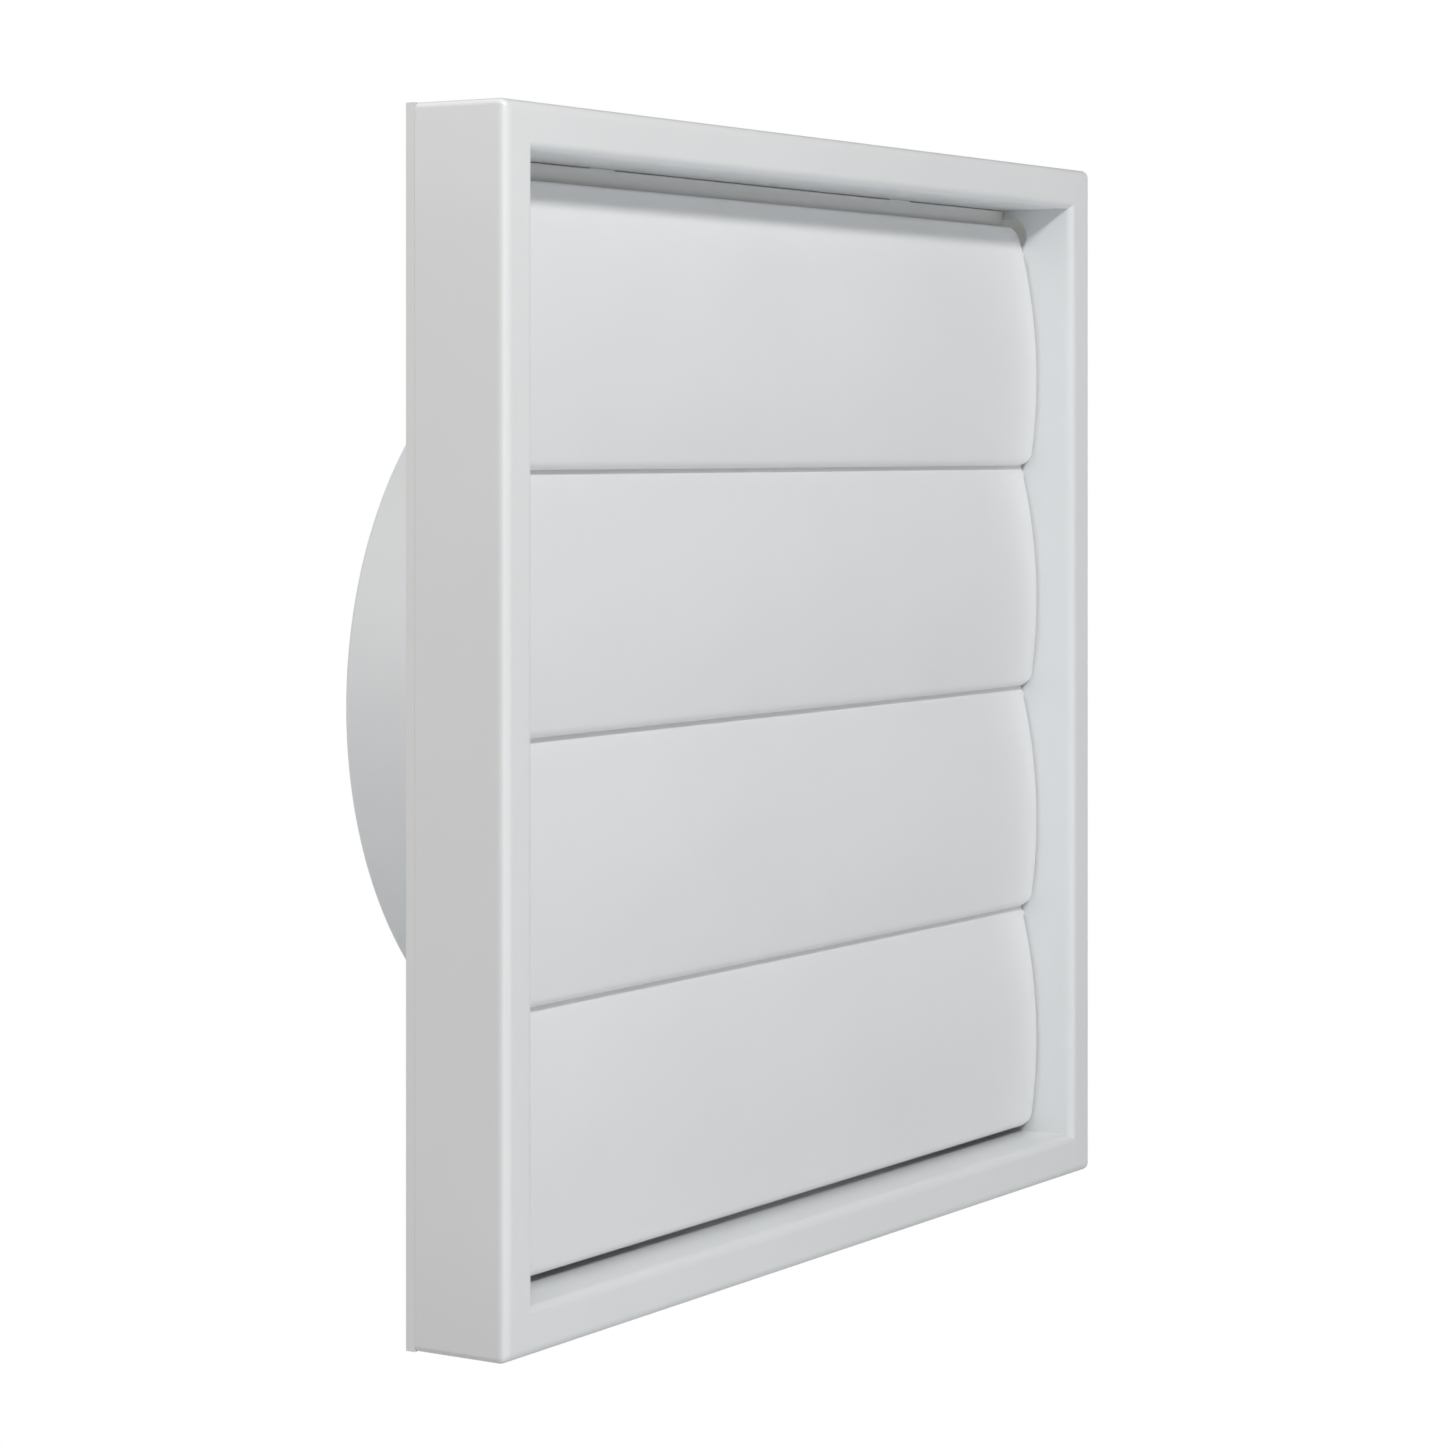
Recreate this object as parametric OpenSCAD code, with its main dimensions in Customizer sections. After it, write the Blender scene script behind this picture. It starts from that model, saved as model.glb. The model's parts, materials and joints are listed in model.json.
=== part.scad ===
// External outlet grille for a 150 mm extractor duct: a square frame with
// four gravity flaps, clipped to a back plate that carries a round spigot.
// X runs across the grille, Y runs from the front of the grille into the wall,
// Z is up. The origin is on the spigot axis, in the plane of the wall.

/* [Frame] */
// Overall width and height of the square frame
frame_w = 214; // [204:1:240]
// Overall depth in front of the wall, frame and back plate together
frame_d = 21; // [21:0.5:30]
// Width of the flat front border, from the outer edge to the opening
lip_w = 8.4; // [8:0.1:12]
// Wall thickness of the frame moulding
wall_t = 2; // [1.6:0.1:2.2]
// Rounding of the outer front edges
front_r = 1.9; // [0.5:0.1:1.9]
// Rounding of the inner edges of the front border
lip_r = 1.6; // [0.5:0.1:1.8]
// Rounding of the four edges that run from front to back
corner_r = 1.2; // [0.4:0.1:2]

/* [Back plate and spigot] */
// Thickness of the back plate
plate_t = 1.9; // [1.5:0.1:2.5]
// Outside diameter of the spigot that enters the duct
spigot_d = 148; // [100:1:152]
// Length of the spigot behind the wall plane
spigot_l = 39.3; // [20:0.1:60]
// Wall thickness of the spigot
spigot_t = 2.2; // [1.6:0.1:3]
// Height of the locating rib on the front of the back plate
rib_h = 2.5; // [2:0.1:2.8]
// Diameter of the wall screw holes
screw_d = 5.2; // [4:0.1:6]
// Distance between wall screw holes, across and up
screw_pitch = 164; // [150:1:170]

/* [Flaps] */
// Thickness of a flap
flap_t = 2; // [1.6:0.1:2.1]
// Radius of the bowed face of a flap
flap_r = 108; // [105:1:110]
// How far the crown of a flap sits behind the front of the frame
crown_depth = 8.2; // [7.5:0.1:9]
// Height of the crown above the bottom edge of a flap
crown_h = 18.5; // [17:0.1:18.7]
// How far the top of a flap reaches up behind the flap above
overlap = 4; // [3.5:0.1:4]
// Space between the top flap and the frame
top_gap = 3.7; // [3.5:0.1:6]
// Space between the bottom flap and the frame
bottom_gap = 1.5; // [1.4:0.1:4]
// Space between the end of a flap and the side of the frame
side_gap = 0.5; // [0.4:0.1:1.2]
// Rounding of the four corners of a flap, seen from the front
flap_corner_r = 3; // [2.5:0.1:4]
// Diameter of the pivot pins moulded on the flaps
pin_d = 2; // [1.8:0.1:2.4]
// Gap around a pivot pin in its hole, on the radius
pin_gap = 0.05; // [0.03:0.01:0.09]

/* [Hidden] */

// Facets: default, small rounds and holes, notches, spigot, flap faces
$fn = 96;
small_fn = 48;
notch_fn = 64;
spigot_fn = 240;
flap_fn = 720;

eps = 0.5;       // overshoot of a cut beyond the face it opens
wall_cut = wall_t + 1; // length of a cut centred in a wall of the opening

// Frame, as half sizes from the axis
half_w = frame_w / 2;
half_open = half_w - lip_w;        // inner face of the opening walls
half_reveal = half_open + wall_t;  // outer face of the opening walls
wall_mid = half_open + wall_t / 2;
frame_back = -plate_t;             // Y where the frame meets the plate

// Flaps
flap_count = 4;
flap_pitch = (2 * half_open - top_gap - bottom_gap - overlap) / flap_count;
flap_h = flap_pitch + overlap;
half_flap = half_open - side_gap;
arc_y = -frame_d + crown_depth + flap_r; // centre of the bow
mid_r = flap_r - flap_t / 2;
inner_r = flap_r - flap_t;
top_round_extra = 0.05;  // added to the radius of the top edge
outline_slack = 0.001;   // added above and below the front outline

// Pivots, on the middle arc of the flap
pivot_below_top = 6;
pivot_dz = flap_h - pivot_below_top - crown_h;
pivot_y = arc_y - sqrt(mid_r * mid_r - pivot_dz * pivot_dz);
pin_reach = side_gap + wall_t - 0.4; // stops 0.4 short of the outer wall face
pin_root = 1;                        // length sunk in the flap

// Notches beside the flap tops
notch_r = 3.8;
notch_y = -6.1;
notch_drop = 1.9;   // centre of the round below the flap top
notch_low = 4.2;    // flat floor below the flap top
notch_inset = 0.05; // straight part inside the round, above and below

// Locating rib
rib_front = frame_back - rib_h;
rib_gap = 0.15;      // to the opening, above and below
rib_gap_side = 0.3;  // to the opening, at the sides
rib_t = 0.9;
rib_t_top = 4;
rib_drop_side = 1.5; // how much lower the rib is at the sides

// Snap clips
clip_top = 54;    // distance from the middle, along the top
clip_bottom = 49; // the same along the bottom
nose_w = 8;
nose_l = 1.4;
nose_out = 0.9;   // reach beyond the face of the opening
nose_sink = 0.3;  // depth in the rib
nose_tip = 0.4;   // height of the front end
nose_flat = 0.5;  // flat length behind the slope
window_gap = 0.5; // at each side of a nose
window_gap_y = 0.1; // in front of and behind a nose

// Spigot
spigot_chamfer = 0.8;
bore_extra = 5;   // added to the length of the bore

// Height of the bottom edge of flap n, counted from the top
function flap_z(n) = half_open - top_gap - flap_h - (n - 1) * flap_pitch;
// Height of the top edge of flap n
function flap_top(n) = flap_z(n) + flap_h;
// Height of the pivot axis of flap n
function pivot_z(n) = flap_top(n) - pivot_below_top;

// Sweeps a side profile given in (Y, Z) along X, centred
module along_x(length) {
  translate([-length / 2, 0, 0])
    rotate([90, 0, 90])
      linear_extrude(length) children();
}

// Sweeps a front profile given in (X, Z) back from front_y
module along_y(front_y, depth) {
  translate([0, front_y + depth, 0])
    rotate([90, 0, 0])
      linear_extrude(depth) children();
}

// Sweeps a plan section given in (X, Y) up the height of the frame
module upright() {
  translate([0, 0, -half_w])
    linear_extrude(frame_w) children();
}

// Sweeps a symmetric plan section across the frame, with its X turned to Z
module across() {
  rotate([0, 90, 0])
    translate([0, 0, -half_w - eps])
      linear_extrude(frame_w + 2 * eps) children();
}

// Centred rectangle with four rounded corners
module soft_square(half_x, half_z, radius) {
  translate([-half_x + radius, -half_z]) square([2 * (half_x - radius), 2 * half_z]);
  translate([-half_x, -half_z + radius]) square([2 * half_x, 2 * (half_z - radius)]);
  for (i = [-1, 1], j = [-1, 1])
    translate([i * (half_x - radius), j * (half_z - radius)]) circle(radius, $fn = small_fn);
}

// Round bars on the pivot axis of flap n, one at each end
module pivot_bars(n, mid_x, length, radius) {
  for (side = [-1, 1])
    translate([side * mid_x, pivot_y, pivot_z(n)])
      rotate([0, 90, 0])
        cylinder(h = length, r = radius, center = true, $fn = small_fn);
}

// Copies a part made for the top middle to the four clip places
module at_clips() {
  for (side = [-1, 1]) {
    translate([side * clip_top, 0, 0]) children();
    translate([side * clip_bottom, 0, 0]) mirror([0, 0, 1]) children();
  }
}

// Section of the frame block, with only its two front corners rounded
module block_section() {
  translate([-half_w, -frame_d + front_r])
    square([frame_w, frame_d - front_r + frame_back]);
  translate([-half_w + front_r, -frame_d])
    square([frame_w - 2 * front_r, 2 * front_r]);
  for (side = [-1, 1])
    translate([side * (half_w - front_r), -frame_d + front_r])
      circle(front_r, $fn = small_fn);
}

// Section of the opening, flared at the front so that the border edge is round
module opening_section() {
  translate([-half_open, -frame_d - eps]) square([2 * half_open, frame_d + 2 * eps]);
  difference() {
    translate([-half_open - lip_r, -frame_d - eps])
      square([2 * (half_open + lip_r), lip_r + eps]);
    for (side = [-1, 1])
      translate([side * (half_open + lip_r), -frame_d + lip_r])
        circle(lip_r, $fn = small_fn);
  }
}

module frame_block() {
  intersection() {
    upright() block_section();
    across() block_section();
    along_y(-frame_d - eps, frame_d + 2 * eps) soft_square(half_w, half_w, corner_r);
  }
}

module frame_opening() {
  intersection() {
    upright() opening_section();
    across() opening_section();
  }
}

// Hollow between the outer wall and the wall of the opening, open at the back
module frame_hollow() {
  hollow_w = frame_w - 2 * wall_t;
  depth = frame_d - wall_t + frame_back + eps;
  difference() {
    translate([-half_w + wall_t, -frame_d + wall_t, -half_w + wall_t])
      cube([hollow_w, depth, hollow_w]);
    translate([-half_reveal, -frame_d, -half_reveal])
      cube([2 * half_reveal, frame_d + 2 * eps, 2 * half_reveal]);
  }
}

module pivot_holes() {
  for (n = [1 : flap_count])
    pivot_bars(n, wall_mid, wall_cut, pin_d / 2 + pin_gap);
}

// Section of a notch beside the top corner of flap n: round at the front, open
// to the back, and flat below so that the pivot hole keeps its wall
module notch_section(n) {
  notch_z = flap_top(n) - notch_drop;
  intersection() {
    union() {
      translate([notch_y, notch_z]) circle(notch_r, $fn = notch_fn);
      translate([notch_y, notch_z - notch_r + notch_inset])
        square([frame_back - notch_y + eps, 2 * (notch_r - notch_inset)]);
    }
    translate([-frame_d, flap_top(n) - notch_low]) square([frame_d, flap_h]);
  }
}

// Notches through the side walls of the opening, one at each end of each flap
module flap_notches() {
  for (n = [1 : flap_count], side = [-1, 1])
    translate([side * wall_mid, 0, 0])
      along_x(wall_cut) notch_section(n);
}

// Window in the wall of the opening that catches a clip nose
module clip_window() {
  translate([-nose_w / 2 - window_gap, rib_front - window_gap_y, half_open - eps])
    cube([nose_w + 2 * window_gap, nose_l + 2 * window_gap_y, wall_t + 2 * eps]);
}

module front_frame() {
  color([0.93, 0.93, 0.92])
  difference() {
    frame_block();
    frame_opening();
    frame_hollow();
    pivot_holes();
    flap_notches();
    at_clips() clip_window();
  }
}

// Nose of a snap clip on the outside of the locating rib, sloped at the front
module clip_nose() {
  root_z = half_open - rib_gap - nose_sink;
  tip_z = half_open + nose_out;
  nose_back = rib_front + nose_l;
  along_x(nose_w)
    polygon([
      [rib_front, root_z],
      [rib_front, root_z + nose_tip],
      [nose_back - nose_flat, tip_z],
      [nose_back, tip_z],
      [nose_back, root_z]
    ]);
}

// Rib that centres the frame on the plate: wide along the top, and lower at
// the sides, where the tops of the flaps swing back
module rib_ring() {
  half_x = half_open - rib_gap_side;
  half_z = half_open - rib_gap;
  inside_h = 2 * half_z - rib_t - rib_t_top;
  difference() {
    translate([-half_x, rib_front, -half_z])
      cube([2 * half_x, rib_h + plate_t / 2, 2 * half_z]);
    translate([-half_x + rib_t, rib_front - eps, -half_z + rib_t])
      cube([2 * (half_x - rib_t), rib_h + plate_t, inside_h]);
    translate([-half_x - eps, rib_front - eps, -half_z + rib_t])
      cube([2 * (half_x + eps), rib_drop_side + eps, inside_h]);
  }
}

// Solid spigot, started inside the plate and chamfered at its far end
module spigot_body() {
  radius = spigot_d / 2;
  length = spigot_l + plate_t / 2;
  translate([0, -plate_t / 2, 0])
    rotate([-90, 0, 0])
      rotate_extrude($fn = spigot_fn)
        polygon([
          [0, 0],
          [radius, 0],
          [radius, length - spigot_chamfer],
          [radius - spigot_chamfer, length],
          [0, length]
        ]);
}

module spigot_bore() {
  rotate([-90, 0, 0])
    translate([0, 0, -frame_d])
      cylinder(h = frame_d + spigot_l + bore_extra, d = spigot_d - 2 * spigot_t,
               $fn = spigot_fn);
}

module screw_holes() {
  for (i = [-1, 1], j = [-1, 1])
    translate([i * screw_pitch / 2, 0, j * screw_pitch / 2])
      rotate([90, 0, 0])
        cylinder(h = 4 * plate_t, d = screw_d, center = true, $fn = small_fn);
}

module back_plate() {
  color([0.91, 0.91, 0.9])
  difference() {
    union() {
      translate([-half_w, -plate_t, -half_w]) cube([frame_w, plate_t, frame_w]);
      spigot_body();
      rib_ring();
      at_clips() clip_nose();
    }
    spigot_bore();
    screw_holes();
  }
}

// Side section of a flap whose bottom edge is at z: a bowed strip with a
// full round at the top and a quarter round at the bottom
module flap_section(z) {
  crown_z = z + crown_h;
  top_dz = flap_h - flap_t / 2 - crown_h;
  low_dz = flap_t - crown_h;
  top_y = arc_y - sqrt(mid_r * mid_r - top_dz * top_dz);
  low_y = arc_y - sqrt(inner_r * inner_r - low_dz * low_dz);
  top_angle = asin(top_dz / mid_r);
  low_angle = asin(low_dz / inner_r);
  sector_r = 2 * flap_r;
  intersection() {
    difference() {
      translate([arc_y, crown_z]) circle(flap_r, $fn = flap_fn);
      translate([arc_y, crown_z]) circle(inner_r, $fn = flap_fn);
    }
    union() {
      translate([arc_y, crown_z])
        polygon([
          [0, 0],
          [-sector_r * cos(top_angle), sector_r * sin(top_angle)],
          [-sector_r * cos(low_angle), sector_r * sin(low_angle)]
        ]);
      translate([low_y, z + flap_t]) circle(flap_t, $fn = small_fn);
      translate([top_y, z + flap_h - flap_t / 2 - top_round_extra])
        circle(flap_t / 2 + top_round_extra, $fn = small_fn);
    }
  }
}

// Flap n with its two pivot pins
module flap(n) {
  intersection() {
    along_x(2 * half_flap) flap_section(flap_z(n));
    translate([0, 0, flap_z(n) + flap_h / 2])
      along_y(-frame_d, frame_d)
        soft_square(half_flap, flap_h / 2 + outline_slack, flap_corner_r);
  }
  pivot_bars(n, half_flap + (pin_reach - pin_root) / 2, pin_reach + pin_root, pin_d / 2);
}

module flap_1() { color([0.94, 0.95, 0.96]) flap(1); }
module flap_2() { color([0.93, 0.94, 0.95]) flap(2); }
module flap_3() { color([0.92, 0.93, 0.94]) flap(3); }
module flap_4() { color([0.91, 0.92, 0.93]) flap(4); }

front_frame();
back_plate();
flap_1();
flap_2();
flap_3();
flap_4();
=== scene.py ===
import json
import math

import bmesh
import bpy
from mathutils import Matrix, Vector


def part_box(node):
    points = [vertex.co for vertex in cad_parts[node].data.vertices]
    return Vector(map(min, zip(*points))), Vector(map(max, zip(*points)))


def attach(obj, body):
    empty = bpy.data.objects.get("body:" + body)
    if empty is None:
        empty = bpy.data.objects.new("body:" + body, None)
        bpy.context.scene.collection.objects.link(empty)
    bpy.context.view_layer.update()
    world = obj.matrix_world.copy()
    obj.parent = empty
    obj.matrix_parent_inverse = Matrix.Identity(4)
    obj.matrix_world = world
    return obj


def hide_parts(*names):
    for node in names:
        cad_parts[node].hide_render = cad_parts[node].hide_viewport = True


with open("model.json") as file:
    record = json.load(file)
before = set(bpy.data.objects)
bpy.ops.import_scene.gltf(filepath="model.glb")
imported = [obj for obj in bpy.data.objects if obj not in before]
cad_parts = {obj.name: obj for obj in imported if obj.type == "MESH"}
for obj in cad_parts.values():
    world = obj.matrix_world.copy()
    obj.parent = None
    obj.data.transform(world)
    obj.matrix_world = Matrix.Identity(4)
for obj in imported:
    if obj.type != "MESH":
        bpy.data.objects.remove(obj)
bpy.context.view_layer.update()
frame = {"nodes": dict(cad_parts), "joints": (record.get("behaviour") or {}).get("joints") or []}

MM = 0.001

# ---------------------------------------------------------------------------
# Sizes, in millimetres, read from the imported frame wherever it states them
# ---------------------------------------------------------------------------
f_lo, f_hi = (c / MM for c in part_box("front_frame"))
p_lo, p_hi = (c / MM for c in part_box("back_plate"))
HALF = f_hi.x                      # half the width of the square frame
FRONT = f_lo.y                     # plane of the frame's front border
SEAT = f_hi.y                      # plane where frame meets back plate
WALL = 0.0                         # plane of the house wall
SPIGOT_END = p_hi.y
LIP = 8.4                          # width of the flat border
OPEN = HALF - LIP                  # half the opening
WT = 2.0                           # wall thickness of the frame
FRONT_R = 1.9
CORNER_R = 1.2
LIP_R = 1.6
SPIGOT_R = 74.0
BORE_R = 71.8
RIB_X = OPEN - 0.3                 # locating rib, half width outside
RIB_Z = OPEN - 0.15                # and half height
RIB_T = 0.9
RIB_T_TOP = 4.0
RIB_TOP = p_lo.y                   # front edge of the locating rib
RIB_SIDE = RIB_TOP + 1.5           # front edge of its lower sides
FLAP_HALF = OPEN - 0.5
FLAP_T = 2.0
FLAP_R = 108.0
CROWN = FRONT + 8.2                # the bowed crown of a flap
CROWN_H = 18.5
PIN_R = 1.0
NOTCH_R = 3.8                      # notch in the side wall beside a flap's top corner
NOTCH_Y = -6.1
NOTCH_DROP = 1.9
NOTCH_LOW = 4.2
PIVOTS = {j["child"]: Vector(j["pos_m"]) / MM for j in frame["joints"]}


# ---------------------------------------------------------------------------
# Mesh helpers
# ---------------------------------------------------------------------------
def new_object(name, verts, faces, merge=1e-7):
    """A mesh object from points in millimetres, with its faces turned outwards."""
    mesh = bpy.data.meshes.new(name)
    mesh.from_pydata([tuple(c * MM for c in v) for v in verts], [], faces)
    bm = bmesh.new()
    bm.from_mesh(mesh)
    bmesh.ops.remove_doubles(bm, verts=bm.verts, dist=merge)
    bmesh.ops.dissolve_degenerate(bm, edges=bm.edges, dist=merge)
    bmesh.ops.recalc_face_normals(bm, faces=bm.faces)
    bm.to_mesh(mesh)
    bm.free()
    obj = bpy.data.objects.new(name, mesh)
    bpy.context.scene.collection.objects.link(obj)
    return obj


def arc(cx, cy, r, a0, a1, n):
    """n + 1 points of an arc, angles in degrees."""
    return [(cx + r * math.cos(math.radians(a0 + (a1 - a0) * i / n)),
             cy + r * math.sin(math.radians(a0 + (a1 - a0) * i / n))) for i in range(n + 1)]


def loft(rings, closed=True):
    """Quads between rings of equal length. closed joins the last ring to the first."""
    n = len(rings[0])
    verts = [p for ring in rings for p in ring]
    faces = []
    m = len(rings)
    for k in range(m if closed else m - 1):
        a, b = k * n, ((k + 1) % m) * n
        for i in range(n):
            j = (i + 1) % n
            faces.append((a + i, a + j, b + j, b + i))
    return verts, faces


def square_ring(d, y, r, corner_n=8, side_n=10):
    """A square loop of half size d in the XZ plane, with corners of radius r."""
    pts = []
    r = max(r, 0.0)
    for q in range(4):
        a0 = 90 * q
        cx = (d - r) * (1 if q in (0, 3) else -1)
        cz = (d - r) * (1 if q in (0, 1) else -1)
        corner = arc(cx, cz, r, a0, a0 + 90, corner_n)
        pts += [(x, y, z) for x, z in corner]
        # the straight side that follows this corner
        x0, z0 = corner[-1]
        nq = (q + 1) % 4
        nx = (d - r) * (1 if nq in (0, 3) else -1)
        nz = (d - r) * (1 if nq in (0, 1) else -1)
        x1, z1 = arc(nx, nz, r, 90 * nq, 90 * nq + 90, corner_n)[0]
        for i in range(1, side_n):
            t = i / side_n
            pts.append((x0 + (x1 - x0) * t, y, z0 + (z1 - z0) * t))
    return pts


def circle_ring(r, y, n):
    return [(r * math.cos(2 * math.pi * i / n), y, r * math.sin(2 * math.pi * i / n)) for i in range(n)]


def square_by_angle(d, y, n, r=0.0):
    """A square loop whose points stand at even angles, so it lofts to a circle."""
    pts = []
    for i in range(n):
        a = 2 * math.pi * i / n
        c, s = math.cos(a), math.sin(a)
        k = d / max(abs(c), abs(s))
        pts.append((k * c, y, k * s))
    return pts


def rod(axis_pt, x0, x1, r, n=32, chamfer=0.25, ends=(True, True)):
    """A closed round rod along X from x0 to x1, its ends eased."""
    cy, cz = axis_pt
    s = 1 if x1 > x0 else -1
    stations = [(x0, r - chamfer if ends[0] else r), (x0 + s * (chamfer if ends[0] else 0.01), r),
                (x1 - s * (chamfer if ends[1] else 0.01), r), (x1, r - chamfer if ends[1] else r)]
    verts, faces = [], []
    for x, rr in stations:
        verts += [(x, cy + rr * math.cos(2 * math.pi * i / n), cz + rr * math.sin(2 * math.pi * i / n)) for i in range(n)]
    for k in range(len(stations) - 1):
        for i in range(n):
            j = (i + 1) % n
            faces.append((k * n + i, k * n + j, (k + 1) * n + j, (k + 1) * n + i))
    faces.append(tuple(range(n)))
    last = (len(stations) - 1) * n
    faces.append(tuple(range(last, last + n)))
    return verts, faces


def box_mesh(lo, hi):
    x0, y0, z0 = lo
    x1, y1, z1 = hi
    v = [(x0, y0, z0), (x1, y0, z0), (x1, y1, z0), (x0, y1, z0), (x0, y0, z1), (x1, y0, z1), (x1, y1, z1), (x0, y1, z1)]
    f = [(0, 1, 2, 3), (4, 5, 6, 7), (0, 1, 5, 4), (1, 2, 6, 5), (2, 3, 7, 6), (3, 0, 4, 7)]
    return v, f


def soft_box(name, lo, hi, ease):
    """A box with its edges rounded by ease."""
    obj = new_object(name, *box_mesh(lo, hi))
    bm = bmesh.new()
    bm.from_mesh(obj.data)
    bmesh.ops.bevel(bm, geom=list(bm.edges), offset=ease * MM, segments=3, profile=0.5, affect="EDGES")
    bm.to_mesh(obj.data)
    bm.free()
    return obj


def prism_x(profile, x0, x1):
    """A closed prism from a (y, z) outline, between x0 and x1."""
    n = len(profile)
    v = [(x0, y, z) for y, z in profile] + [(x1, y, z) for y, z in profile]
    f = [(i, (i + 1) % n, n + (i + 1) % n, n + i) for i in range(n)]
    f += [tuple(range(n)), tuple(range(n, 2 * n))]
    return v, f


def merged(parts):
    verts, faces = [], []
    for v, f in parts:
        o = len(verts)
        verts += list(v)
        faces += [tuple(i + o for i in face) for face in f]
    return verts, faces


def boolean(obj, other, operation):
    """Applies an exact boolean of other to obj and removes other."""
    mod = obj.modifiers.new("cut", "BOOLEAN")
    mod.operation = operation
    mod.solver = "EXACT"
    mod.object = other
    dg = bpy.context.evaluated_depsgraph_get()
    mesh = bpy.data.meshes.new_from_object(obj.evaluated_get(dg))
    obj.modifiers.clear()
    old = obj.data
    obj.data = mesh
    bpy.data.meshes.remove(old)
    gone = other.data
    bpy.data.objects.remove(other)
    bpy.data.meshes.remove(gone)
    mesh.name = obj.name
    return obj


def shade(obj, angle=34):
    mesh = obj.data
    for p in mesh.polygons:
        p.use_smooth = True
    mesh.set_sharp_from_angle(angle=math.radians(angle))
    return obj


# ---------------------------------------------------------------------------
# The frame moulding: one section swept round a square, mitred inside and
# rounded outside, then pierced for the pivot pins and the clips
# ---------------------------------------------------------------------------
def build_frame():
    e = 0.06
    s = 0.25
    section = []                                     # (half size, y)
    section += [(HALF, SEAT - e), (HALF, SEAT - e - s)]
    section += [(HALF, -12.0), (HALF, FRONT + FRONT_R + s)]
    section += arc(HALF - FRONT_R, FRONT + FRONT_R, FRONT_R, 0, -90, 12)
    section += [(HALF - FRONT_R - s, FRONT), (HALF - 4.2, FRONT), (OPEN + LIP_R + s, FRONT)]
    section += arc(OPEN + LIP_R, FRONT + LIP_R, LIP_R, -90, -180, 12)
    section += [(OPEN, FRONT + LIP_R + s), (OPEN, -12.0), (OPEN, SEAT - e - s), (OPEN, SEAT - e)]
    section += [(OPEN + e, SEAT), (OPEN + WT - e, SEAT), (OPEN + WT, SEAT - e)]
    section += [(OPEN + WT, FRONT + WT + 0.5), (OPEN + WT + 0.5, FRONT + WT)]
    section += [(HALF - WT - 0.5, FRONT + WT), (HALF - WT, FRONT + WT + 0.5)]
    section += [(HALF - WT, SEAT - e), (HALF - WT + e, SEAT), (HALF - e, SEAT)]
    flat = HALF - FRONT_R
    rings = []
    for d, y in section:
        on_outside = d > flat and not (d <= HALF - WT and y > FRONT + 1.0)
        r = CORNER_R * (d - flat) / FRONT_R if on_outside else 0.0
        if y > FRONT + WT and abs(d - (HALF - WT)) < 0.01:
            r = 0.4
        rings.append(square_ring(d, y, r))
    obj = new_object("frame_moulding", *loft(rings))
    cuts = []
    for p in PIVOTS.values():
        for sgn in (-1, 1):
            cuts.append(rod((p.y, p.z), sgn * (OPEN - 0.6), sgn * (OPEN + WT + 0.6), PIN_R + 0.05, n=32, ends=(False, False)))
    for node in PIVOTS:
        z_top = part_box(node)[1].z / MM
        zc, low = z_top - NOTCH_DROP, z_top - NOTCH_LOW
        a_low = math.degrees(math.asin((low - zc) / NOTCH_R))
        outline = arc(NOTCH_Y, zc, NOTCH_R, 90, 180 - a_low, 22)
        outline += [(SEAT + 0.6, low), (SEAT + 0.6, zc + NOTCH_R)]
        for sgn in (-1, 1):
            cuts.append(prism_x(outline, *sorted((sgn * (OPEN - 0.6), sgn * (OPEN + WT + 0.6)))))
    for cx, top in ((54, 1), (-54, 1), (49, -1), (-49, -1)):
        z0, z1 = (OPEN - 0.5, OPEN + WT + 0.5) if top > 0 else (-OPEN - WT - 0.5, -OPEN + 0.5)
        cuts.append(box_mesh((cx - 4.5, RIB_TOP - 0.1, z0), (cx + 4.5, RIB_TOP + 1.5, z1)))
    boolean(obj, new_object("cutter", *merged(cuts)), "DIFFERENCE")
    return shade(obj)


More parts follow.
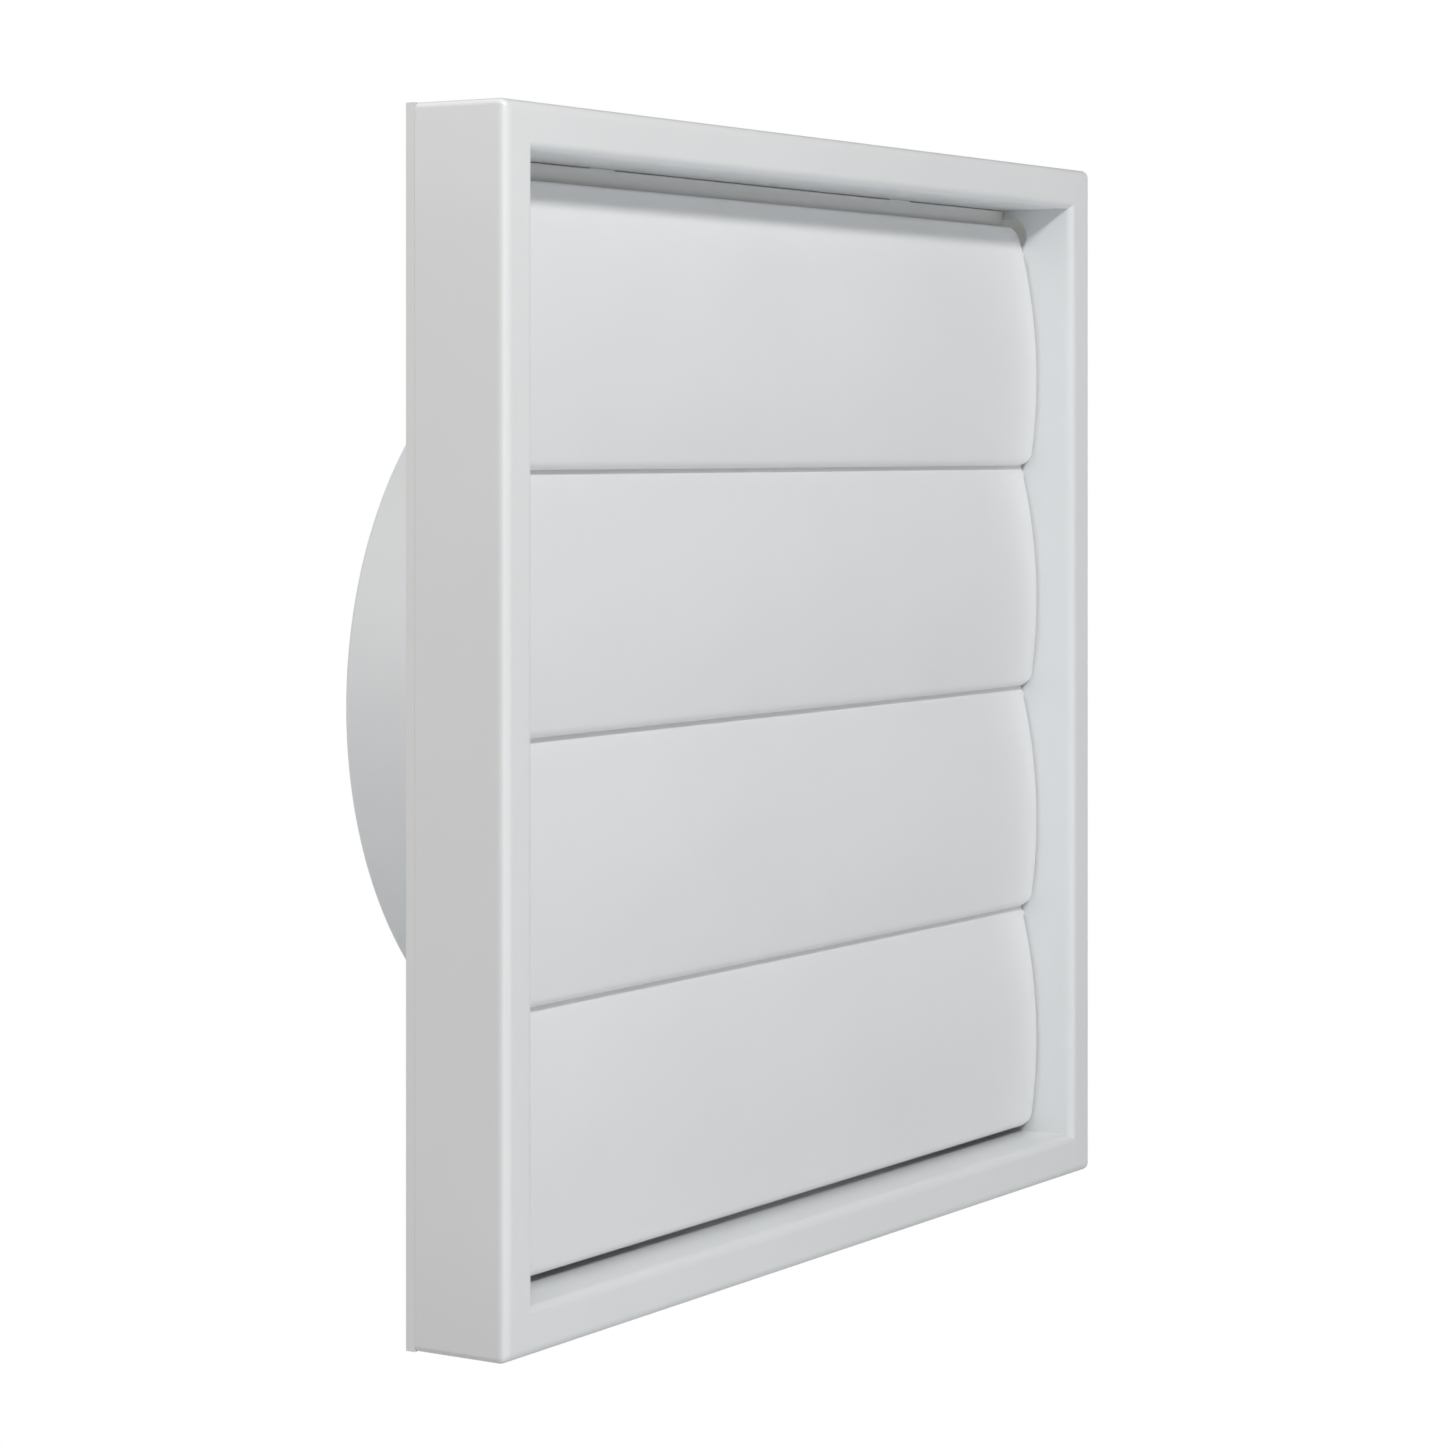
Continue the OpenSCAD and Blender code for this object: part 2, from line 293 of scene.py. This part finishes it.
# ---------------------------------------------------------------------------
# The back plate with its spigot, locating rib, clips and wall screw holes
# ---------------------------------------------------------------------------
def build_plate():
    n = 256
    c = 0.05
    rings = [circle_ring(BORE_R, y, n) for y in (SPIGOT_END - 0.9, SPIGOT_END - 12, 12.0, SEAT + 0.8)]
    rings += [circle_ring(d, y, n) for d, y in arc(BORE_R + 0.5, SEAT + 0.5, 0.5, 180, 270, 5)]
    rings += [circle_ring(BORE_R + 0.9, SEAT, n)]
    rings += [square_by_angle(d, y, n) for d, y in ((HALF - c - 0.3, SEAT), (HALF - c, SEAT), (HALF, SEAT + c),
                                                   (HALF, WALL - c), (HALF - c, WALL), (HALF - c - 0.3, WALL))]
    rings += [circle_ring(SPIGOT_R + 1.0, WALL, n)]
    rings += [circle_ring(d, y, n) for d, y in arc(SPIGOT_R + 0.6, WALL + 0.6, 0.6, -90, -180, 5)]
    rings += [circle_ring(SPIGOT_R, y, n) for y in (1.0, 12.0, SPIGOT_END - 12, SPIGOT_END - 1.1)]
    rings += [circle_ring(d, y, n) for d, y in arc(SPIGOT_R - 0.8, SPIGOT_END - 0.8, 0.8, 0, 90, 6)]
    rings += [circle_ring(SPIGOT_R - 0.95, SPIGOT_END, n), circle_ring(BORE_R + 0.65, SPIGOT_END, n)]
    rings += [circle_ring(d, y, n) for d, y in arc(BORE_R + 0.5, SPIGOT_END - 0.5, 0.5, 90, 180, 5)]
    obj = new_object("plate_and_spigot", *loft(rings))
    # locating rib: wide along the top, lower at the sides
    y1 = SEAT + 0.6
    bars = [((-RIB_X, RIB_TOP, RIB_Z - RIB_T_TOP), (RIB_X, y1, RIB_Z)),
            ((-RIB_X, RIB_TOP, -RIB_Z), (RIB_X, y1, -RIB_Z + RIB_T))]
    for i in (-1, 1):
        bars.append(((min(i * RIB_X, i * (RIB_X - RIB_T)), RIB_SIDE, -RIB_Z + RIB_T - 0.3),
                     (max(i * RIB_X, i * (RIB_X - RIB_T)), y1, RIB_Z - RIB_T_TOP + 0.3)))
    for bar_lo, bar_hi in bars:
        boolean(obj, soft_box("rib", bar_lo, bar_hi, 0.2), "UNION")
    noses = []
    z0, z1 = RIB_Z - 0.3, OPEN + 0.9
    for cx, top in ((54, 1), (-54, 1), (49, -1), (-49, -1)):
        prof = [(RIB_TOP, z0), (RIB_TOP, z0 + 0.4), (RIB_TOP + 0.9, z1), (RIB_TOP + 1.4, z1), (RIB_TOP + 1.4, z0)]
        noses.append(prism_x([(y, z * top) for y, z in prof], cx - 4, cx + 4))
    boolean(obj, new_object("noses", *merged(noses)), "UNION")
    holes = []
    for i in (-1, 1):
        for k in (-1, 1):
            m = 48
            v = [(i * 82 + 2.6 * math.cos(2 * math.pi * q / m), y, k * 82 + 2.6 * math.sin(2 * math.pi * q / m))
                 for y in (SEAT - 1.5, WALL + 1.5) for q in range(m)]
            f = [(q, (q + 1) % m, m + (q + 1) % m, m + q) for q in range(m)] + [tuple(range(m)), tuple(range(m, 2 * m))]
            holes.append((v, f))
    boolean(obj, new_object("holes", *merged(holes)), "DIFFERENCE")
    return shade(obj)


# ---------------------------------------------------------------------------
# A flap: a bowed sheet of even quads with rounded corners, a soft lower edge
# and a full-round top edge, and a pivot pin at each end
# ---------------------------------------------------------------------------
CORNER_X = 3.2
CORNER_A = 2.8


def build_flap(node):
    lo, hi = (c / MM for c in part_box(node))
    z_bottom, z_top = lo.z, hi.z
    cy, cz = CROWN + FLAP_R, z_bottom + CROWN_H
    a_low = FLAP_R * (math.asin((FLAP_T - CROWN_H) / (FLAP_R - FLAP_T)) - FLAP_T / (FLAP_R - FLAP_T))
    mid = FLAP_R - FLAP_T / 2
    a_top = FLAP_R * (math.asin((z_top - FLAP_T / 2 - cz) / mid) + (FLAP_T / 2) / mid)

    def place(x, a, depth):
        t = a / FLAP_R
        r = FLAP_R - depth
        return (x, cy - r * math.cos(t), cz + r * math.sin(t))

    K = 10
    straight = 40
    rx, ra = CORNER_X, CORNER_A

    def row(sign):
        """Edge points and outward normals of the bottom (-1) or top (+1) edge, left to right."""
        edge = a_low if sign < 0 else a_top
        ca = edge - sign * ra
        pts = []
        for i in range(K + 1):
            ph = math.pi / 2 * i / K
            x = -FLAP_HALF + rx - rx * math.cos(ph)
            a = ca + sign * ra * math.sin(ph)
            nx, na = -math.cos(ph) / rx, sign * math.sin(ph) / ra
            l = math.hypot(nx, na)
            pts.append((x, a, nx / l, na / l))
        x0, x1 = -FLAP_HALF + rx, FLAP_HALF - rx
        for i in range(1, straight):
            pts.append((x0 + (x1 - x0) * i / straight, edge, 0.0, float(sign)))
        for i in range(K, -1, -1):
            x, a, nx, na = pts[i]
            pts.append((-x, a, -nx, na))
        return pts

    bottom, top = row(-1), row(1)
    cols = len(bottom)

    def round_front(na):
        return 0.45 + ((1.9 if na < 0 else 0.95) - 0.45) * na * na

    def round_back(na):
        return 0.3 + ((0.08 if na < 0 else 0.95) - 0.3) * na * na

    ts = [0.0, 0.006] + [i / 40 for i in range(1, 40)] + [0.994, 1.0]
    rows = len(ts)

    def side_grid(rounding, depth):
        grid = []
        for i in range(cols):
            bx, ba, bnx, bna = bottom[i]
            tx, ta, tnx, tna = top[i]
            rb, rt = rounding(bna), rounding(tna)
            b = (bx - bnx * rb, ba - bna * rb)
            t = (tx - tnx * rt, ta - tna * rt)
            grid.append([place(b[0] + (t[0] - b[0]) * v, b[1] + (t[1] - b[1]) * v, depth) for v in ts])
        return grid

    front, back = side_grid(round_front, 0.0), side_grid(round_back, FLAP_T)
    verts = [p for c in front for p in c] + [p for c in back for p in c]
    idx = lambda i, j: i * rows + j
    off = cols * rows
    faces = []
    for i in range(cols - 1):
        for j in range(rows - 1):
            faces.append((idx(i, j), idx(i + 1, j), idx(i + 1, j + 1), idx(i, j + 1)))
            faces.append((off + idx(i, j), off + idx(i, j + 1), off + idx(i + 1, j + 1), off + idx(i + 1, j)))
    loop = [(i, 0) for i in range(cols)] + [(cols - 1, j) for j in range(1, rows - 1)]
    loop += [(i, rows - 1) for i in range(cols - 1, -1, -1)] + [(0, j) for j in range(rows - 2, 0, -1)]

    def edge_point(i, j):
        if j == 0:
            return bottom[i]
        if j == rows - 1:
            return top[i]
        bx, ba, bnx, bna = bottom[i]
        tx, ta, tnx, tna = top[i]
        v = ts[j]
        return (bx + (tx - bx) * v, ba + (ta - ba) * v, bnx, 0.0)

    previous = [idx(i, j) for i, j in loop]
    steps_f, steps_b = 8, 6
    for k in range(1, steps_f + 1):
        ph = math.pi / 2 * k / steps_f
        ring = []
        for i, j in loop:
            x, a, nx, na = edge_point(i, j)
            r = round_front(na)
            q = r * math.sin(ph) - r
            ring.append(len(verts))
            verts.append(place(x + nx * q, a + na * q, r * (1 - math.cos(ph))))
        for m in range(len(loop)):
            w = (m + 1) % len(loop)
            faces.append((previous[m], previous[w], ring[w], ring[m]))
        previous = ring
    for k in range(steps_b):
        ph = math.pi / 2 * k / steps_b
        ring = []
        for i, j in loop:
            x, a, nx, na = edge_point(i, j)
            r = round_back(na)
            q = r * math.cos(ph) - r
            ring.append(len(verts))
            verts.append(place(x + nx * q, a + na * q, FLAP_T - r + r * math.sin(ph)))
        for m in range(len(loop)):
            w = (m + 1) % len(loop)
            faces.append((previous[m], previous[w], ring[w], ring[m]))
        previous = ring
    last = [off + idx(i, j) for i, j in loop]
    for m in range(len(loop)):
        w = (m + 1) % len(loop)
        faces.append((previous[m], previous[w], last[w], last[m]))

    parts = [(verts, faces)]
    p = PIVOTS[node]
    for sgn in (-1, 1):
        parts.append(rod((p.y, p.z), sgn * (FLAP_HALF - 1.0), sgn * (OPEN + WT - 0.4), PIN_R, n=32))
    return shade(new_object(node + "_blade", *merged(parts)), 50)


# ---------------------------------------------------------------------------
# Materials: white moulded plastic, satin, with a fine moulded grain
# ---------------------------------------------------------------------------
def plastic(name, colour, rough=0.36, seed=0.0, grain=0.035, painted_outer_shade=None, painted_inner_light=None, painted_glow=None):
    mat = bpy.data.materials.new(name)
    mat.use_nodes = True
    nt = mat.node_tree
    nt.nodes.clear()
    N, L = nt.nodes.new, nt.links.new
    out = N("ShaderNodeOutputMaterial")
    bsdf = N("ShaderNodeBsdfPrincipled")
    L(bsdf.outputs["BSDF"], out.inputs["Surface"])
    coord = N("ShaderNodeTexCoord")
    shift = N("ShaderNodeMapping")
    shift.inputs["Location"].default_value = (seed, seed * 0.37, seed * 0.71)
    L(coord.outputs["Object"], shift.inputs["Vector"])

    def noise(scale, detail, roughness=0.5):
        t = N("ShaderNodeTexNoise")
        t.inputs["Scale"].default_value = scale
        t.inputs["Detail"].default_value = detail
        t.inputs["Roughness"].default_value = roughness
        L(shift.outputs["Vector"], t.inputs["Vector"])
        return t.outputs["Fac"]

    def remap(value, a, b, lo=0.3, hi=0.7):
        m = N("ShaderNodeMapRange")
        m.inputs["From Min"].default_value = lo
        m.inputs["From Max"].default_value = hi
        m.inputs["To Min"].default_value = a
        m.inputs["To Max"].default_value = b
        L(value, m.inputs["Value"])
        return m.outputs["Result"]

    cloud = noise(22.0, 3.0)
    ramp = N("ShaderNodeValToRGB")
    ramp.color_ramp.elements[0].position = 0.3
    ramp.color_ramp.elements[1].position = 0.7
    ramp.color_ramp.elements[0].color = (*[c * 0.985 for c in colour], 1)
    ramp.color_ramp.elements[1].color = (*[min(1.0, c * 1.012) for c in colour], 1)
    L(cloud, ramp.inputs["Fac"])
    tone = ramp.outputs["Color"]
    # painted shade and light: the outside walls are painted a little deeper in tone than the border as painted shade,
    # and the opening's walls a little cooler as painted bounce light
    for painted_tint, edge0, edge1 in ((painted_outer_shade, HALF - 0.5, HALF - 0.03), (painted_inner_light, OPEN + 0.9, OPEN + 0.05)):
        if not painted_tint:
            continue
        split = N("ShaderNodeSeparateXYZ")
        L(coord.outputs["Object"], split.inputs["Vector"])
        far = []
        for axis in ("X", "Z"):
            m = N("ShaderNodeMath")
            m.operation = "ABSOLUTE"
            L(split.outputs[axis], m.inputs[0])
            far.append(m.outputs[0])
        m = N("ShaderNodeMath")
        m.operation = "MAXIMUM"
        L(far[0], m.inputs[0])
        L(far[1], m.inputs[1])
        blend = N("ShaderNodeMix")
        blend.data_type = "RGBA"
        blend.blend_type = "MULTIPLY"
        L(remap(m.outputs[0], 0.0, 1.0, edge0 * MM, edge1 * MM), blend.inputs["Factor"])
        L(tone, blend.inputs["A"])
        blend.inputs["B"].default_value = (*painted_tint, 1)
        tone = blend.outputs["Result"]
    L(tone, bsdf.inputs["Base Color"])
    if painted_glow:
        # painted glow: inside the hollow frame an emission stands in for the little warm light that comes through the
        # thin walls
        split = N("ShaderNodeSeparateXYZ")
        L(coord.outputs["Object"], split.inputs["Vector"])

        def maths(op, a, b=None):
            m = N("ShaderNodeMath")
            m.operation = op
            L(a, m.inputs[0])
            if isinstance(b, (int, float)):
                m.inputs[1].default_value = b
            elif b is not None:
                L(b, m.inputs[1])
            return m.outputs[0]

        reach = maths("MAXIMUM", maths("ABSOLUTE", split.outputs["X"]), maths("ABSOLUTE", split.outputs["Z"]))
        inside = maths("MULTIPLY", maths("GREATER_THAN", reach, (OPEN + WT - 0.1) * MM),
                       maths("LESS_THAN", reach, (HALF - WT + 0.1) * MM))
        inside = maths("MULTIPLY", inside, maths("GREATER_THAN", split.outputs["Y"], (FRONT + WT - 0.1) * MM))
        inside = maths("MULTIPLY", inside, maths("LESS_THAN", split.outputs["Y"], (SEAT + 0.1) * MM))
        bsdf.inputs["Emission Color"].default_value = (*painted_glow, 1)
        L(inside, bsdf.inputs["Emission Strength"])
    L(remap(noise(140.0, 4.0), rough - 0.03, rough + 0.04), bsdf.inputs["Roughness"])
    bsdf.inputs["IOR"].default_value = 1.5
    # fine grain from the mould, over a very slight waviness
    fine = N("ShaderNodeBump")
    fine.inputs["Strength"].default_value = grain
    fine.inputs["Distance"].default_value = 0.0001
    L(noise(2600.0, 2.0, 0.6), fine.inputs["Height"])
    wave = N("ShaderNodeBump")
    wave.inputs["Strength"].default_value = 0.06
    wave.inputs["Distance"].default_value = 0.0004
    L(noise(45.0, 1.0), wave.inputs["Height"])
    L(wave.outputs["Normal"], fine.inputs["Normal"])
    L(fine.outputs["Normal"], bsdf.inputs["Normal"])
    return mat


# painted glow on the surfaces inside the hollow frame, an emission in place of light coming through the thin walls
PAINTED_GLOW = (0.058, 0.060, 0.056)
# the frame's outside walls carry painted shade and its opening's walls painted cool light; the plate's outside edge
# carries painted shade
FRAME_WHITE = plastic("frame_white_plastic", (0.880, 0.885, 0.881), 0.34, 1.3, painted_outer_shade=(0.740, 0.731, 0.714), painted_inner_light=(0.996, 1.007, 1.017), painted_glow=PAINTED_GLOW)
PLATE_WHITE = plastic("plate_white_plastic", (0.813, 0.813, 0.804), 0.40, 4.1, painted_outer_shade=(0.800, 0.794, 0.777), painted_glow=PAINTED_GLOW)
FLAP_WHITE = plastic("flap_white_plastic", (0.890, 0.893, 0.897), 0.40, 7.7)


def dress(obj, mat, body, node):
    obj.data.materials.clear()
    obj.data.materials.append(mat)
    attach(obj, body)
    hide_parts(node)


dress(build_frame(), FRAME_WHITE, "housing", "front_frame")
dress(build_plate(), PLATE_WHITE, "housing", "back_plate")
for name in ("flap_1", "flap_2", "flap_3", "flap_4"):
    dress(build_flap(name), FLAP_WHITE, name, name)
for name, mat in (("front_frame", FRAME_WHITE), ("back_plate", PLATE_WHITE), ("flap_1", FLAP_WHITE),
                  ("flap_2", FLAP_WHITE), ("flap_3", FLAP_WHITE), ("flap_4", FLAP_WHITE)):
    o = frame["nodes"][name]
    o.data.materials.clear()
    o.data.materials.append(mat)

# ---------------------------------------------------------------------------
# Stage: plain pale floor, white surroundings, soft lights
# ---------------------------------------------------------------------------
scene = bpy.context.scene
scene.view_settings.view_transform = "Standard"
scene.view_settings.look = "None"
scene.view_settings.exposure = 0.0
scene.view_settings.gamma = 1.0

floor_mesh = bpy.data.meshes.new("floor")
S, FZ = 6.0, -0.30
floor_mesh.from_pydata([(-S, -S, FZ), (S, -S, FZ), (S, S, FZ), (-S, S, FZ)], [], [(0, 1, 2, 3)])
floor = bpy.data.objects.new("floor", floor_mesh)
scene.collection.objects.link(floor)
fmat = bpy.data.materials.new("floor_pale")
fmat.use_nodes = True
nt = fmat.node_tree
nt.nodes.clear()
out = nt.nodes.new("ShaderNodeOutputMaterial")
mix = nt.nodes.new("ShaderNodeMixShader")
path = nt.nodes.new("ShaderNodeLightPath")
dif = nt.nodes.new("ShaderNodeBsdfDiffuse")
dif.inputs["Color"].default_value = (0.68, 0.70, 0.71, 1)
emi = nt.nodes.new("ShaderNodeEmission")
emi.inputs["Color"].default_value = (1, 1, 1, 1)
emi.inputs["Strength"].default_value = 1.0
nt.links.new(path.outputs["Is Camera Ray"], mix.inputs["Fac"])
nt.links.new(dif.outputs["BSDF"], mix.inputs[1])
nt.links.new(emi.outputs["Emission"], mix.inputs[2])
nt.links.new(mix.outputs["Shader"], out.inputs["Surface"])
floor_mesh.materials.append(fmat)

world = bpy.data.worlds.new("studio")
scene.world = world
world.use_nodes = True
nt = world.node_tree
nt.nodes.clear()
wout = nt.nodes.new("ShaderNodeOutputWorld")
wmix = nt.nodes.new("ShaderNodeMixShader")
wpath = nt.nodes.new("ShaderNodeLightPath")
amb = nt.nodes.new("ShaderNodeBackground")
amb.inputs["Color"].default_value = (0.983, 1.0, 1.02, 1)
AMBIENT = 0.0508
# wide soft panels round the studio: azimuth, elevation, strength
PANELS = ((40, 5, 0.052), (80, 5, 0.611), (-120, 5, 1.022), (-130, 50, 0.89), (-70, 50, 0.777), (150, 30, 0.537))
geo = nt.nodes.new("ShaderNodeNewGeometry")
total = None
for az, el, strength in PANELS:
    ra, re = math.radians(az), math.radians(el)
    axis = Vector((math.sin(ra) * math.cos(re), -math.cos(ra) * math.cos(re), math.sin(re)))
    dot = nt.nodes.new("ShaderNodeVectorMath")
    dot.operation = "DOT_PRODUCT"
    dot.inputs[1].default_value = -axis
    nt.links.new(geo.outputs["Incoming"], dot.inputs[0])
    front = nt.nodes.new("ShaderNodeMath")
    front.operation = "MAXIMUM"
    front.inputs[1].default_value = 0.0
    nt.links.new(dot.outputs["Value"], front.inputs[0])
    lobe = nt.nodes.new("ShaderNodeMath")
    lobe.operation = "POWER"
    lobe.inputs[1].default_value = 8.0
    nt.links.new(front.outputs[0], lobe.inputs[0])
    add = nt.nodes.new("ShaderNodeMath")
    add.operation = "MULTIPLY_ADD"
    add.inputs[1].default_value = strength
    nt.links.new(lobe.outputs[0], add.inputs[0])
    if total is None:
        add.inputs[2].default_value = AMBIENT
    else:
        nt.links.new(total, add.inputs[2])
    total = add.outputs[0]
nt.links.new(total, amb.inputs["Strength"])
white = nt.nodes.new("ShaderNodeBackground")
white.inputs["Color"].default_value = (1, 1, 1, 1)
white.inputs["Strength"].default_value = 1.0
nt.links.new(wpath.outputs["Is Camera Ray"], wmix.inputs["Fac"])
nt.links.new(amb.outputs["Background"], wmix.inputs[1])
nt.links.new(white.outputs["Background"], wmix.inputs[2])
nt.links.new(wmix.outputs["Shader"], wout.inputs["Surface"])


def area(name, az, el, dist, size, power, colour=(1, 1, 1)):
    """A soft square light at that azimuth and elevation, aimed at the object's middle."""
    a, e = math.radians(az), math.radians(el)
    pos = Vector((math.sin(a) * math.cos(e), -math.cos(a) * math.cos(e), math.sin(e))) * dist
    data = bpy.data.lights.new(name, "AREA")
    data.shape = "SQUARE"
    data.size = size
    data.energy = power
    data.color = colour
    lamp = bpy.data.objects.new(name, data)
    lamp.location = pos
    lamp.rotation_euler = (-pos).to_track_quat("-Z", "Y").to_euler()
    lamp.visible_camera = False
    scene.collection.objects.link(lamp)
    return lamp


area("key", -35, 34.2, 1, 0.12, 4.618)
area("side", -120, 35, 0.8, 0.6, 1.259)
area("bounce", 10, -14, 0.9, 0.5, 1.289)

# ---------------------------------------------------------------------------
# Camera: level, at the viewing angle, its frame shifted down
# ---------------------------------------------------------------------------
cam_data = bpy.data.cameras.new("camera")
cam = bpy.data.objects.new("camera", cam_data)
scene.collection.objects.link(cam)
cam_data.sensor_width = 36.0
cam_data.lens = 97.836
cam_data.clip_start, cam_data.clip_end = 0.01, 100
cam.rotation_mode = "XYZ"
cam.location = (-0.64430, FRONT * MM - 0.38832, 0.04838)
cam.rotation_euler = (math.radians(90), 0, math.radians(-57.31))
cam_data.shift_y = -0.19238
# the shift belongs to this framing only: another view turns the camera with a
# quaternion, and then the picture is centred again
curve = cam_data.driver_add("shift_y")
curve.driver.type = "AVERAGE"
var = curve.driver.variables.new()
var.type = "SINGLE_PROP"
var.targets[0].id = cam
var.targets[0].data_path = "rotation_mode"
for m in list(curve.modifiers):
    curve.modifiers.remove(m)
curve.keyframe_points.add(2)
curve.keyframe_points[0].co = (0.0, 0.0)
curve.keyframe_points[1].co = (1.0, -0.19238)
for k in curve.keyframe_points:
    k.interpolation = "LINEAR"
curve.update()
scene.camera = cam
